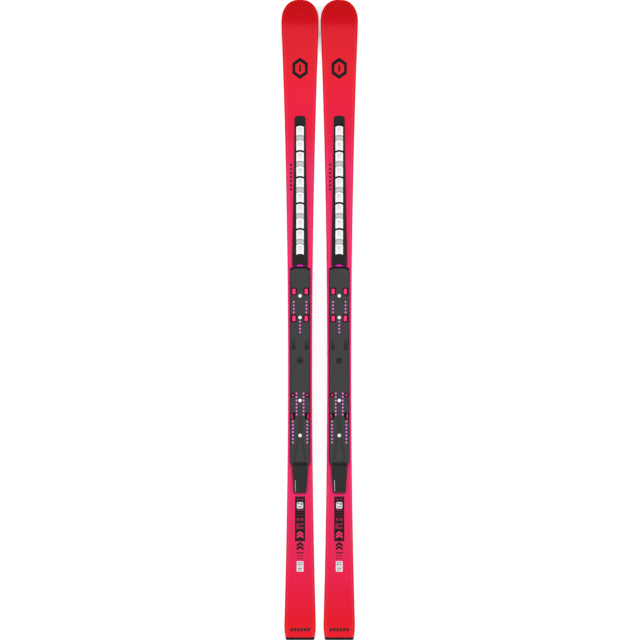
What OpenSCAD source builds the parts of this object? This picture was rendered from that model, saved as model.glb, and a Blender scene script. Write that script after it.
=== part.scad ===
// Pair of giant-slalom race skis, each with an interface plate for a binding.
// X runs across, Y towards the tips, Z up. The origin is on the floor, between the skis, at mid length.

/* [Outline] */
// Length of a ski
ski_len = 1830; // [1750:5:1950]
// Widest place of the shovel
shovel_w = 107; // [98:1:112]
// Width at the waist
waist_w = 68.8; // [63:0.2:74]
// Widest place of the tail
tail_w = 90.4; // [84:0.2:96]
// Width of the cut-off tail end
tail_end_w = 80; // [74:0.5:84]
// Waist's place along the ski
waist_y = -137; // [-180:1:-90]
// Length of the rounded tip, from the widest place
tip_len = 64.4; // [50:0.2:80]
// Length of the rounded tail, from the widest place
tail_len = 43; // [30:1:60]
// Roundness of the tip: 2 is an ellipse
tip_power = 2.3; // [2:0.1:3]

/* [Side profile] */
// Height of the arch between the contact lines
camber = 3; // [2:0.5:6]
// Rise of the tip end above the floor
tip_rise = 52; // [35:1:65]
// Rise of the tail end above the floor
tail_rise = 9; // [4:1:15]
// Front contact line
front_contact_y = 700; // [680:5:720]
// Rear contact line
rear_contact_y = -845; // [-855:5:-830]
// Thickness at the tip
tip_t = 5; // [4.5:0.1:6]
// Thickness at the tail
tail_t = 6.2; // [5.5:0.1:7]
// Height of the flat deck under the interface plate
deck_z = 17; // [16:0.5:19]

/* [Layers] */
// Thickness of the running base
base_t = 1.4; // [1.2:0.1:1.6]
// Width of the steel edge that shows
edge_w = 2; // [1.6:0.1:2.4]
// Height of the steel edge
edge_h = 1.9; // [1.8:0.1:2.2]
// Width of the edge's buried flange
flange_w = 4; // [3:0.5:5]
// Thickness of a metal sheet
metal_t = 0.5; // [0.4:0.1:0.6]
// Thickness of the topsheet
sheet_t = 0.8; // [0.6:0.1:1]
// Width of a sidewall at its foot
wall_w = 8; // [7:0.5:9]
// How far a sidewall leans in
bevel = 3.4; // [2:0.1:4]

/* [Shock absorber] */
// Number of metal sections
section_n = 5; // [5:1:5]
// Front of the first section
section_front_y = 558; // [550:1:560]
// Distance from one section to the next
section_pitch = 74.3; // [72:0.1:75]
// Width of a section
section_w = 21.5; // [20:0.5:24]
// Thickness of a section
section_t = 1.3; // [1:0.1:1.5]
// Gap between two sections
section_gap = 4.8; // [3.6:0.2:5]
// Radius of a section's curved ends
section_end_r = 20; // [18:1:30]
// Thickness of the bed
bed_t = 2.2; // [2:0.1:3]
// Front of the bed
bed_front_y = 584; // [575:1:588]
// Width of the bed at its front
bed_front_w = 31.2; // [28:0.2:32]
// Width of the bed at its rear
bed_rear_w = 45; // [42:0.5:46]

/* [Interface plate] */
// Width of the plate
plate_w = 58.5; // [55:0.5:60]
// Front of the plate
plate_front_y = 154; // [150:1:157]
// Rear of the plate
plate_rear_y = -410; // [-414:1:-405]
// Height of the plate's top above the deck
plate_h = 12; // [11:0.5:14]
// Thickness of the plate's drilled top wall
plate_wall = 3.2; // [3:0.1:4]
// Width of the rail under the plate
rail_w = 44; // [42:1:46]
// Thickness of the rail under the plate
rail_t = 3; // [2.5:0.1:3.4]
// Rear end of the rail's tongue
tongue_y = -494; // [-500:1:-485]
// Thickness of the tongue
tongue_t = 5; // [4:0.5:6]

/* [Drilling] */
// Diameter of a binding hole
hole_d = 5; // [4.5:0.1:5.5]
// Pitch of the holes along the ski
hole_pitch = 10; // [10:1:10]
// Distance across of the toe holes
toe_gauge = 36; // [36:0.5:36]
// Distance across of the inner heel holes
heel_in_gauge = 20; // [20:0.5:20]
// Distance across of the outer heel holes
heel_out_gauge = 41; // [41:0.5:41]

/* [Pair] */
// Distance between the centre lines of the two skis
ski_pitch = 112; // [110:0.2:130]

/* [Hidden] */
SIDES = ["left_ski", "right_ski"];
PIECES = [
    "base", "left_edge", "right_edge", "lower_titanal", "core", "tip_spacer", "left_sidewall", "right_sidewall",
    "upper_titanal", "topsheet", "tail_protector", "damper_bed", "damper_section_1", "damper_section_2",
    "damper_section_3", "damper_section_4", "damper_section_5", "underlay", "interface_plate", "nose_bumper",
    "toe_inserts", "centre_insert", "heel_inner_inserts", "heel_outer_inserts", "damper_blocks", "heel_bushings",
    "plate_screws", "centre_screw", "screw_caps"
];
$fn = 48;

// Places along the ski that the sizes above lead to
front_y = ski_len / 2;
rear_y = -ski_len / 2;
shovel_y = front_y - tip_len;
tail_y = rear_y + tail_len;
protector_y = rear_y + 7.5;
core_front_y = 800;
edge_front_y = shovel_y + 12;
deck_front_y = section_front_y - section_n * section_pitch;
deck_rear_y = -510;
far = 400;

// Fastener rows down the middle of the plate
cap_ys = [69, 7, -230, -330];
centre_screw_y = -116;
toe_ys = [for (i = [0:3]) 52 - i * hole_pitch];
centre_ys = [for (i = [0:3]) -5 - i * hole_pitch];
heel_in_ys = [for (i = [0:6]) -210 - i * hole_pitch];
heel_out_ys = [for (i = [0:6]) -290 - i * hole_pitch];

// Windows in the plate's top: [middle x, middle y, width, length]
toe_windows = [[17.5, 81.6, 9.4, 15.6], [17.5, 4.3, 9.4, 15.6]];
heel_window = [20.1, -274.6, 13.4, 19];
heel_strip = [23.1, -274.8, 3, 14.4];
bushing_at = [20.6, -214.4];
bushing_r = 6;
bushing_core_r = 2.9;

// Lowered band across each section
band_l = 15.7;
band_drop = 0.35;
band_shift = 0.5;

// Fastener sizes
shaft_r = 2.5;
shaft_hole_r = 2.6;
head_r = 4.9;
head_h = 3;
cap_r = 5;
cap_seat_r = 5.1;
cap_mouth_r = 6.7;
cap_mouth_depth = 1.6;
cap_seat_z = 6.5;
screw_depth = 9;
centre_seat_r = 8.3;
centre_head_r = 5.9;
nose_half = 12.7;
nose_drop = 6;
nose_fall = 5;
fit_gap = 0.15;
film = 0.25;
pocket_gap = 0.8;
window_gap = 3;
pocket_z = bed_t - 1;
insert_z = rail_t + 0.5;
insert_top = plate_h - plate_wall;

// Points along the ski where its layers have a station
function span(a, b, n) = [for (i = [0:n - 1]) a + (b - a) * i / n];
body_ys = concat(
    [rear_y, protector_y],
    span(protector_y + 7, tail_y, 4),
    [tail_y],
    span(rear_contact_y, deck_rear_y, 7),
    span(deck_rear_y, deck_front_y, 10),
    span(deck_front_y, section_front_y, section_n),
    span(section_front_y, front_contact_y, 3),
    span(front_contact_y, core_front_y, 4),
    span(core_front_y, shovel_y, 3)
);
tip_steps = 14;
tip_ys = [for (i = [0:tip_steps]) shovel_y + tip_len * pow(sin(90 * i / tip_steps), 2 / tip_power)];
all_ys = concat(body_ys, tip_ys);

// Half width of the ski, up to the shovel
function side_w(y, wide, wide_y) =
    waist_w / 2 + (wide - waist_w) / 2 * pow((y - waist_y) / (wide_y - waist_y), 2);
function tail_drop(y) = (tail_w - tail_end_w) / 2 * pow((tail_y - y) / tail_len, 1.7);
function half_w(y) =
    y < tail_y ? tail_w / 2 - tail_drop(y)
    : y < waist_y ? side_w(y, tail_w, tail_y)
    : side_w(y, shovel_w, shovel_y);

// Underside and top of the ski over the floor
contact_mid = (front_contact_y + rear_contact_y) / 2;
contact_half = (front_contact_y - rear_contact_y) / 2;
function base_z(y) =
    y > front_contact_y ? tip_rise * pow((y - front_contact_y) / (front_y - front_contact_y), 2)
    : y < rear_contact_y ? tail_rise * pow((rear_contact_y - y) / (rear_contact_y - rear_y), 2)
    : camber * pow(1 - pow((y - contact_mid) / contact_half, 2), 2);
function taper(end_t, start_y, end_y, y, power) =
    let (start_t = deck_z - base_z(start_y), s = min(1, (y - start_y) / (end_y - start_y)))
    end_t + (start_t - end_t) * pow(1 - s, power);
function top_z(y) =
    y > deck_front_y ? base_z(y) + taper(tip_t, deck_front_y, shovel_y, y, 1.35)
    : y < deck_rear_y ? base_z(y) + taper(tail_t, deck_rear_y, tail_y, y, 1.2)
    : deck_z;

// Plan of a layer that stays d inside the ski's outline
function outline_side(d) = concat(
    [for (y = body_ys) [half_w(y) - d, y]],
    [for (i = [0:tip_steps])
        [(shovel_w / 2 - d) * pow(max(0, cos(90 * i / tip_steps)), 2 / tip_power),
         shovel_y + (tip_len - d) * pow(sin(90 * i / tip_steps), 2 / tip_power)]]
);
function mirrored(side) = concat(side, [for (i = [len(side) - 1:-1:0]) if (side[i][0] > 0.001) [-side[i][0], side[i][1]]]);

module plan(d) linear_extrude(far) polygon(mirrored(outline_side(d)));

// Slab between two heights, each a function of y
module slab(y0, y1, low, high) {
    ys = concat([y0], [for (y = all_ys) if (y > y0 + 0.01 && y < y1 - 0.01) y], [y1]);
    rotate([90, 0, 90])
        translate([0, 0, -far / 2])
            linear_extrude(far)
                polygon(concat(
                    [for (y = ys) [y, low(y)]],
                    [for (i = [len(ys) - 1:-1:0]) [ys[i], high(ys[i])]]
                ));
}

module layer(d, y0, y1, low, high) intersection() {
    plan(d);
    slab(y0, y1, low, high);
}

// Heights between the layers
sole = function (y) base_z(y);
base_top = function (y) base_z(y) + base_t;
edge_top = function (y) base_z(y) + edge_h;
core_top = function (y) top_z(y) - sheet_t - metal_t;
sheet_low = function (y) top_z(y) - sheet_t;
sheet_top = function (y) top_z(y);

module half_space(side) translate([side > 0 ? 0 : -far, -1.5 * front_y, -1]) cube([far, 3 * front_y, far]);

// Holes in the ski for the five plate screws
module deck_holes()
    for (y = concat(cap_ys, [centre_screw_y]))
        translate([0, y, deck_z - screw_depth])
            cylinder(r = shaft_hole_r, h = screw_depth + 1);

// ---- Ski ----

module base() color("#2b2b2e") {
    layer(edge_w, protector_y, edge_front_y, sole, base_top);
    layer(0, edge_front_y, front_y, sole, base_top);
}

module edge(side) color("#b8bcc2") intersection() {
    half_space(side);
    union() {
        difference() {
            layer(0, protector_y, edge_front_y, sole, edge_top);
            plan(edge_w);
        }
        difference() {
            layer(edge_w, protector_y, core_front_y, base_top, edge_top);
            plan(edge_w + flange_w);
        }
    }
}

module lower_titanal() color("#9aa0a6")
    layer(edge_w + flange_w, protector_y, core_front_y, base_top, edge_top);

module core() color("#d8b67a") difference() {
    layer(wall_w, protector_y, core_front_y, edge_top, core_top);
    deck_holes();
}

module tip_spacer() color("#1d1d1f") {
    layer(0, core_front_y, front_y, edge_top, sheet_low);
    layer(edge_w, core_front_y, edge_front_y, base_top, edge_top);
    layer(0, edge_front_y, front_y, base_top, edge_top);
}

// Leaning sidewall as a loft of four-cornered sections, one at each station
module sidewall(side) color("#e0204f") {
    ys = [for (y = body_ys) if (y > protector_y - 0.01 && y < core_front_y + 0.01) y];
    n = len(ys);
    points = [for (y = ys) each [
        [side * (half_w(y) - wall_w), y, edge_top(y)],
        [side * (half_w(y) - 0.3), y, edge_top(y)],
        [side * (half_w(y) - bevel), y, sheet_low(y)],
        [side * (half_w(y) - wall_w), y, sheet_low(y)]
    ]];
    skin = [for (i = [0:n - 2], j = [0:3]) [4 * i + j, 4 * i + (j + 1) % 4, 4 * i + 4 + (j + 1) % 4, 4 * i + 4 + j]];
    faces = concat([[3, 2, 1, 0]], skin, [[for (j = [0:3]) 4 * (n - 1) + j]]);
    flipped = [for (f = faces) [for (i = [len(f) - 1:-1:0]) f[i]]];
    polyhedron(points, side > 0 ? flipped : faces);
}

module upper_titanal() color("#9aa0a6") difference() {
    layer(wall_w, protector_y, core_front_y, core_top, sheet_low);
    deck_holes();
}

module topsheet() color("#ea2a4a") difference() {
    layer(bevel, protector_y, front_y, sheet_low, sheet_top);
    deck_holes();
}

module tail_protector() color("#2e2f31")
    layer(0, rear_y, protector_y, sole, sheet_top);

// ---- Shock absorber ----

function section_y(k) = section_front_y - k * section_pitch;

// Plan of metal section k, grown by g all round
module section_plan(k, g) {
    half = section_w / 2 + g;
    front = section_y(k - 1) - section_gap / 2 + g;
    rear = section_y(k) + section_gap / 2 - g;
    steps = 8;
    function sag(x) = section_end_r - sqrt(section_end_r * section_end_r - x * x);
    xs = [for (i = [-steps:steps]) half * i / steps];
    linear_extrude(far)
        polygon(concat(
            [for (x = xs) [x, rear - sag(x)]],
            [for (i = [len(xs) - 1:-1:0]) [xs[i], front - sag(xs[i])]]
        ));
}

module over_deck(y0, y1, low, high)
    slab(y0, y1, function (y) top_z(y) + low, function (y) top_z(y) + high);

module damper_bed() color("#242426") difference() {
    intersection() {
        linear_extrude(far)
            polygon(mirrored(concat(
                [[bed_rear_w / 2, plate_front_y + 4.2]],
                [[bed_rear_w / 2, section_y(section_n)]],
                [[bed_front_w / 2 + 1, section_y(1)]],
                [for (a = [0:10:80])
                    [bed_front_w / 2 * pow(cos(a), 0.5), bed_front_y - 10 + 10 * pow(sin(a), 0.8)]],
                [[0.01, bed_front_y]]
            )));
        over_deck(plate_front_y + 4, bed_front_y, 0, bed_t);
    }
    for (k = [1:section_n])
        intersection() {
            section_plan(k, pocket_gap);
            over_deck(section_y(k) - 9, section_y(k - 1), pocket_z, bed_t + 1);
        }
}

// One metal section: a bowed plate with a lower band across its middle
module damper_section(k) color("#e9ecef") {
    mid = (section_y(k) + section_y(k - 1)) / 2 + band_shift;
    low = pocket_z + film;
    difference() {
        intersection() {
            section_plan(k, 0);
            section_slab(k, low, low + section_t);
        }
        intersection() {
            translate([-far / 2, mid - band_l / 2, 0]) cube([far, band_l, far]);
            section_slab(k, low + section_t - band_drop, low + section_t + 1);
        }
    }
}

// Flat slab that follows the straight line of the deck under section k
module section_slab(k, low, high) {
    y0 = section_y(k);
    y1 = section_y(k - 1);
    slope = (top_z(y1) - top_z(y0)) / (y1 - y0);
    ends = [y0 - 9, y1 + 9];
    rotate([90, 0, 90])
        translate([0, 0, -far / 2])
            linear_extrude(far)
                polygon(concat(
                    [for (y = ends) [y, top_z(y0) + slope * (y - y0) + low]],
                    [for (i = [1, 0]) [ends[i], top_z(y0) + slope * (ends[i] - y0) + high]]
                ));
}

// ---- Interface plate ----

module on_deck(z) translate([0, 0, deck_z + z]) children();

module block(x0, x1, y0, y1, z0, z1) translate([x0, y0, z0]) cube([x1 - x0, y1 - y0, z1 - z0]);

module both_sides() for (side = [0, 1]) mirror([side, 0, 0]) children();

// Rectangle with rounded corners, [middle x, middle y, width, length], grown by g
module rounded_window(w, g, z0, z1, r = 1.5) {
    half_x = w[2] / 2 + g;
    half_y = w[3] / 2 + g;
    translate([w[0], w[1], z0]) {
        translate([-half_x + r, -half_y, 0]) cube([2 * (half_x - r), 2 * half_y, z1 - z0]);
        translate([-half_x, -half_y + r, 0]) cube([2 * half_x, 2 * (half_y - r), z1 - z0]);
        for (x = [-half_x + r, half_x - r], y = [-half_y + r, half_y - r])
            translate([x, y, 0]) cylinder(r = r, h = z1 - z0);
    }
}

module screw_holes(ys, r, z0, z1) for (y = ys) translate([0, y, z0]) cylinder(r = r, h = z1 - z0);

module underlay() color("#303032") on_deck(0) difference() {
    union() {
        block(-rail_w / 2, rail_w / 2, plate_rear_y + 0.2, plate_front_y - 16, 0, rail_t);
        linear_extrude(tongue_t)
            polygon(mirrored([
                [rail_w / 2 - 3.6 - 3.5, tongue_y],
                [rail_w / 2 - 3.6 - 1, tongue_y + 1],
                [rail_w / 2 - 3.6, tongue_y + 3.5],
                [rail_w / 2 + 0.4, plate_rear_y - 24],
                [rail_w / 2 + 0.4, plate_rear_y - 0.2]
            ]));
        block(-rail_w / 2, rail_w / 2, plate_rear_y - 0.3, plate_rear_y + 0.3, 0, rail_t);
    }
    screw_holes(concat(cap_ys, [centre_screw_y]), shaft_hole_r, -1, rail_t + 1);
}

// Rounded block of the plate, with a nose that leans back and chamfered long sides
module plate_body() {
    half = plate_w / 2;
    skirt_z = 0.6;
    lean = 8;
    corner = 3.5;
    side_slope = 2.2;
    intersection() {
        linear_extrude(plate_h)
            polygon(mirrored([
                [half - corner, plate_rear_y],
                [half - corner * 0.3, plate_rear_y + corner * 0.3],
                [half, plate_rear_y + corner],
                [half, plate_front_y - nose_drop],
                [nose_half, plate_front_y]
            ]));
        rotate([90, 0, 90])
            translate([0, 0, -half - 1])
                linear_extrude(2 * half + 2)
                    polygon([
                        [plate_rear_y, skirt_z],
                        [plate_front_y, skirt_z],
                        [plate_front_y, plate_h - nose_fall],
                        [plate_front_y - lean, plate_h],
                        [plate_rear_y + 1.5, plate_h],
                        [plate_rear_y, plate_h - 1.5]
                    ]);
        translate([0, plate_front_y + 1, 0])
            rotate([90, 0, 0])
                linear_extrude(plate_front_y - plate_rear_y + 2)
                    polygon(mirrored([
                        [half, 0],
                        [half, plate_h - side_slope],
                        [half - side_slope, plate_h]
                    ]));
    }
}

module interface_plate() color("#444446") on_deck(0) difference() {
    plate_body();
    // Seat of the rail, of the bumper and of the screw strips
    block(-rail_w / 2 - 0.2, rail_w / 2 + 0.2, plate_rear_y - 1, plate_front_y - 15.8, -1, rail_t);
    block(-22, 22, plate_front_y - 16, plate_front_y + 1, -1, 7.2);
    // Relief between the toe and heel halves, where the plate flexes
    block(-rail_w / 2 - 0.2, rail_w / 2 + 0.2, -208, -140, -1, rail_t + 1.2);
    both_sides() {
        strip_seat(toe_gauge / 2, 5.2, toe_ys);
        strip_seat(heel_in_gauge / 2 - 0.4, 3.3, heel_in_ys);
        strip_seat(heel_out_gauge / 2, 4.5, heel_out_ys);
        for (y = toe_ys) binding_hole(toe_gauge / 2, y);
        for (y = heel_in_ys) binding_hole(heel_in_gauge / 2, y);
        for (y = heel_out_ys) binding_hole(heel_out_gauge / 2, y);
        for (w = toe_windows) rounded_window(w, window_gap, rail_t - 0.5, plate_h + 1);
        rounded_window(heel_window, 0, rail_t - 0.5, plate_h + 1);
        translate([bushing_at[0], bushing_at[1], rail_t - 0.5]) cylinder(r = bushing_r + fit_gap, h = plate_h);
        nose_bevel();
        nose_slot();
        side_scoop();
        rear_groove();
    }
    strip_seat(0, 4.2, centre_ys);
    for (y = centre_ys) binding_hole(0, y);
    // Seats of the five screws
    screw_holes(concat(cap_ys, [centre_screw_y]), shaft_hole_r, 0, plate_h + 1);
    screw_holes(cap_ys, cap_seat_r, cap_seat_z, plate_h + 1);
    screw_holes(cap_ys, cap_mouth_r, plate_h - cap_mouth_depth, plate_h + 1);
    screw_holes([centre_screw_y], centre_seat_r, plate_h - 4, plate_h + 1);
    // Groove behind the inner heel holes, and the step at the rear
    block(-6.7, 6.7, -322, -277, plate_h - 0.8, plate_h + 1);
    block(-18, 18, plate_rear_y - 1, plate_rear_y + 5.4, plate_h - 1.2, plate_h + 1);
}

// Row of seats for a screw strip, from the first hole to the last
module strip_seat(x, half, ys)
    block(x - half - fit_gap, x + half + fit_gap, min(ys) - 6 - fit_gap, max(ys) + 5 + fit_gap,
        rail_t - 0.5, insert_top);

module strip(x, half, ys)
    block(x - half, x + half, min(ys) - 6, max(ys) + 5, insert_z, insert_top);

module binding_hole(x, y) translate([x, y, insert_top - 0.5]) cylinder(d = hole_d, h = plate_wall + 1);

// Slanting face along each cut-off corner of the nose
module nose_bevel() {
    width = 6;
    past = 2.5;
    steep = nose_fall / width;
    translate([nose_half, plate_front_y, 0])
        rotate([0, 0, -atan2(nose_drop, plate_w / 2 - nose_half)])
            rotate([90, 0, 90])
                translate([0, 0, -5])
                    linear_extrude(plate_w)
                        polygon([
                            [-width - past, plate_h + past * steep],
                            [past, plate_h - (width + past) * steep],
                            [past, plate_h + past * steep]
                        ]);
}

// Slot behind the nose's slanting edge, which shows the bumper
module nose_slot()
    translate([0, 0, 7])
        linear_extrude(plate_h)
            polygon([
                [13.6, plate_front_y - 4.6], [24.6, plate_front_y - 8.6],
                [24.6, plate_front_y - 11], [13.6, plate_front_y - 7]
            ]);

// Shallow scoop beside the centre screw, deepest near its rear end
module side_scoop() intersection() {
    linear_extrude(plate_h + 1)
        polygon([[28.2, -44], [15.7, -44], [12.4, -93], [22.4, -93]]);
    rotate([90, 0, 90])
        linear_extrude(plate_w)
            polygon([
                [-43, plate_h + 0.05], [-82, plate_h - 1.8], [-92.5, plate_h + 0.05],
                [-92.5, plate_h + 0.5], [-43, plate_h + 0.5]
            ]);
}

// Groove that leaves a raised rib between it and its mirror image
module rear_groove()
    translate([0, 0, plate_h - 0.9])
        linear_extrude(2)
            polygon([[2.6, -341], [8.4, -341], [19, -396], [13, -404.4]]);

module nose_bumper() color("#ff14c8") on_deck(0) intersection() {
    linear_extrude(7)
        polygon(mirrored([
            [21.4, plate_front_y - 15.6],
            [21.4, plate_front_y - 4.6],
            [16, plate_front_y - 1.6],
            [12.5, plate_front_y + 0.6],
            [8.5, plate_front_y + 2.8],
            [0.01, plate_front_y + 3.8]
        ]));
    block(-30, 30, plate_front_y - 20, plate_front_y + 10, 0, 7);
}

module toe_inserts() color("#f582f0") on_deck(0) both_sides() strip(toe_gauge / 2, 5.2, toe_ys);

module centre_insert() color("#f582f0") on_deck(0) strip(0, 4.2, centre_ys);

module heel_inner_inserts() color("#f582f0") on_deck(0)
    both_sides() strip(heel_in_gauge / 2 - 0.4, 3.3, heel_in_ys);

module heel_outer_inserts() color("#f582f0") on_deck(0)
    both_sides() strip(heel_out_gauge / 2, 4.5, heel_out_ys);

// Elastomer blocks in the windows, and the cores of the two bushings
module damper_blocks() color("#ff337d") on_deck(0) both_sides() {
    for (w = toe_windows) rounded_window(w, -fit_gap, rail_t, plate_h - 1.4, 1.3);
    rounded_window(heel_strip, -fit_gap, rail_t, plate_h - 1.4, 1.3);
    translate([bushing_at[0], bushing_at[1], rail_t]) cylinder(r = bushing_core_r, h = plate_h - rail_t - 1.2);
}

module heel_bushings() color("#18181a") on_deck(0) both_sides()
    translate([bushing_at[0], bushing_at[1], rail_t])
        difference() {
            cylinder(r = bushing_r, h = plate_h - rail_t - 0.8);
            translate([0, 0, -1]) cylinder(r = bushing_core_r + 0.05, h = plate_h);
        }

module screw(r_head, z_head) {
    translate([0, 0, z_head]) cylinder(r = r_head, h = head_h);
    translate([0, 0, 0.3 - screw_depth]) cylinder(r = shaft_r, h = z_head + screw_depth - 0.2);
}

module plate_screws() color("#c9ccd0") on_deck(0)
    for (y = cap_ys) translate([0, y, 0]) screw(head_r, cap_seat_z);

module centre_screw() color("#141416") on_deck(0) translate([0, centre_screw_y, 0]) difference() {
    screw(centre_head_r, plate_h - 4);
    translate([0, 0, plate_h - 3]) cylinder(d = 5.8, h = 4, $fn = 6);
}

module screw_caps() color("#ffffff") on_deck(0)
    for (y = cap_ys)
        translate([0, y, cap_seat_z + head_h]) cylinder(r = cap_r, h = plate_h - cap_seat_z - head_h - 0.7);

// ---- The two skis ----

module left() translate([-ski_pitch / 2, 0, 0]) children();
module right() translate([ski_pitch / 2, 0, 0]) children();

left() base();  // left_ski_base
left() edge(-1);  // left_ski_left_edge
left() edge(1);  // left_ski_right_edge
left() lower_titanal();  // left_ski_lower_titanal
left() core();  // left_ski_core
left() tip_spacer();  // left_ski_tip_spacer
left() sidewall(-1);  // left_ski_left_sidewall
left() sidewall(1);  // left_ski_right_sidewall
left() upper_titanal();  // left_ski_upper_titanal
left() topsheet();  // left_ski_topsheet
left() tail_protector();  // left_ski_tail_protector
left() damper_bed();  // left_ski_damper_bed
left() damper_section(1);  // left_ski_damper_section_1
left() damper_section(2);  // left_ski_damper_section_2
left() damper_section(3);  // left_ski_damper_section_3
left() damper_section(4);  // left_ski_damper_section_4
left() damper_section(5);  // left_ski_damper_section_5
left() underlay();  // left_ski_underlay
left() interface_plate();  // left_ski_interface_plate
left() nose_bumper();  // left_ski_nose_bumper
left() toe_inserts();  // left_ski_toe_inserts
left() centre_insert();  // left_ski_centre_insert
left() heel_inner_inserts();  // left_ski_heel_inner_inserts
left() heel_outer_inserts();  // left_ski_heel_outer_inserts
left() damper_blocks();  // left_ski_damper_blocks
left() heel_bushings();  // left_ski_heel_bushings
left() plate_screws();  // left_ski_plate_screws
left() centre_screw();  // left_ski_centre_screw
left() screw_caps();  // left_ski_screw_caps

right() base();  // right_ski_base
right() edge(-1);  // right_ski_left_edge
right() edge(1);  // right_ski_right_edge
right() lower_titanal();  // right_ski_lower_titanal
right() core();  // right_ski_core
right() tip_spacer();  // right_ski_tip_spacer
right() sidewall(-1);  // right_ski_left_sidewall
right() sidewall(1);  // right_ski_right_sidewall
right() upper_titanal();  // right_ski_upper_titanal
right() topsheet();  // right_ski_topsheet
right() tail_protector();  // right_ski_tail_protector
right() damper_bed();  // right_ski_damper_bed
right() damper_section(1);  // right_ski_damper_section_1
right() damper_section(2);  // right_ski_damper_section_2
right() damper_section(3);  // right_ski_damper_section_3
right() damper_section(4);  // right_ski_damper_section_4
right() damper_section(5);  // right_ski_damper_section_5
right() underlay();  // right_ski_underlay
right() interface_plate();  // right_ski_interface_plate
right() nose_bumper();  // right_ski_nose_bumper
right() toe_inserts();  // right_ski_toe_inserts
right() centre_insert();  // right_ski_centre_insert
right() heel_inner_inserts();  // right_ski_heel_inner_inserts
right() heel_outer_inserts();  // right_ski_heel_outer_inserts
right() damper_blocks();  // right_ski_damper_blocks
right() heel_bushings();  // right_ski_heel_bushings
right() plate_screws();  // right_ski_plate_screws
right() centre_screw();  // right_ski_centre_screw
right() screw_caps();  // right_ski_screw_caps
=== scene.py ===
"""Pair of giant-slalom race skis with interface plates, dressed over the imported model."""

import math

import bmesh
import bpy
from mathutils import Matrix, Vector


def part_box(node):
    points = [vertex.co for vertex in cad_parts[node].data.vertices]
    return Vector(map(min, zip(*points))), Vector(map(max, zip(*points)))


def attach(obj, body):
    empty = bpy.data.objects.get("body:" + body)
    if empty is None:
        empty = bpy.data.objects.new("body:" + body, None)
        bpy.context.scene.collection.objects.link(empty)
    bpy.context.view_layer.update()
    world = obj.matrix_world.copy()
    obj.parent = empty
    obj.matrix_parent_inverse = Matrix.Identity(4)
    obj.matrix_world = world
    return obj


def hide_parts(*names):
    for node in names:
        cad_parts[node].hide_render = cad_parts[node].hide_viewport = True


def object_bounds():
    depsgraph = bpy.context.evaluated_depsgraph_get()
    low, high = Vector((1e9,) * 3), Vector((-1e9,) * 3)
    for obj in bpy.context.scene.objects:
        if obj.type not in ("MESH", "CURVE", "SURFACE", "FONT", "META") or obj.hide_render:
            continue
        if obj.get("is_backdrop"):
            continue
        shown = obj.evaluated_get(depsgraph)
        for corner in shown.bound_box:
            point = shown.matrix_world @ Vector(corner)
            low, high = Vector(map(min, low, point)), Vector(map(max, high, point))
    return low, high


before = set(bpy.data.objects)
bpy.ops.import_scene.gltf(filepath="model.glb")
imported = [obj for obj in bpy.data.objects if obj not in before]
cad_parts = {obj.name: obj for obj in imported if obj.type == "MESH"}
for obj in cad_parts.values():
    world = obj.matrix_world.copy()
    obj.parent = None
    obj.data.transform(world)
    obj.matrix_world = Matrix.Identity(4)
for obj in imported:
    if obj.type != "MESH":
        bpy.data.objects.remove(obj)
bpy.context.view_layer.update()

SKIS = ("left_ski", "right_ski")
MM = 0.001

# ---- Running bases ----
# The sole of each ski is a sheet of black sintered polyethylene, glued between the steel edges.
# It is ground on a stone machine, which leaves fine grooves along the ski. At the tip and tail,
# past the edges, it runs out to the outline.

front_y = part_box("left_ski_topsheet")[1].y / MM + 3.4
rear_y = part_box("left_ski_tail_protector")[0].y / MM
protector_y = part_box("left_ski_tail_protector")[1].y / MM
shovel_w = (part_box("left_ski_right_edge")[1].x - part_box("left_ski_left_edge")[0].x) / MM
deck_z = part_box("left_ski_underlay")[0].z / MM
waist_w, waist_y = 68.8, -137.0
tail_w, tail_end_w, tail_len = 90.4, 80.0, 43.0
tip_len, tip_power = 64.4, 2.3
shovel_y = front_y - tip_len
tail_y = rear_y + tail_len
camber, tip_rise, tail_rise = 3.0, 52.0, 9.0
contact_front, contact_rear = 700.0, -845.0
tip_t, tail_t = 5.0, 6.2
deck_front, deck_rear = 186.5, -510.0
base_t, edge_w, edge_h = 1.4, 2.0, 1.9
edge_front_y = shovel_y + 12


def half_width(y):
    if y < tail_y:
        return tail_w / 2 - (tail_w - tail_end_w) / 2 * ((tail_y - y) / tail_len) ** 1.7
    wide, wide_y = (tail_w, tail_y) if y < waist_y else (shovel_w, shovel_y)
    return waist_w / 2 + (wide - waist_w) / 2 * ((y - waist_y) / (wide_y - waist_y)) ** 2


def sole_z(y):
    if y > contact_front:
        return tip_rise * ((y - contact_front) / (front_y - contact_front)) ** 2
    if y < contact_rear:
        return tail_rise * ((contact_rear - y) / (contact_rear - rear_y)) ** 2
    middle, half = (contact_front + contact_rear) / 2, (contact_front - contact_rear) / 2
    return camber * (1 - ((y - middle) / half) ** 2) ** 2


def deck_top(y):
    if deck_rear <= y <= deck_front:
        return deck_z
    start, end, thin, power = (
        (deck_front, shovel_y, tip_t, 1.35) if y > deck_front else (deck_rear, tail_y, tail_t, 1.2)
    )
    share = min(1.0, (y - start) / (end - start))
    return sole_z(y) + thin + (deck_z - sole_z(start) - thin) * (1 - share) ** power


def rim(station, inset):
    """Point on the right-hand outline, drawn in by inset. A station is ("side", y) or ("tip", angle)."""
    kind, value = station
    if kind == "side":
        return half_width(value) - inset, value
    round_off = 2 / tip_power
    return (
        (shovel_w / 2 - inset) * max(0.0, math.cos(value)) ** round_off,
        shovel_y + (tip_len - inset) * math.sin(value) ** round_off,
    )


def tip_angle(y):
    return math.asin(((y - shovel_y) / tip_len) ** (tip_power / 2))


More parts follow.
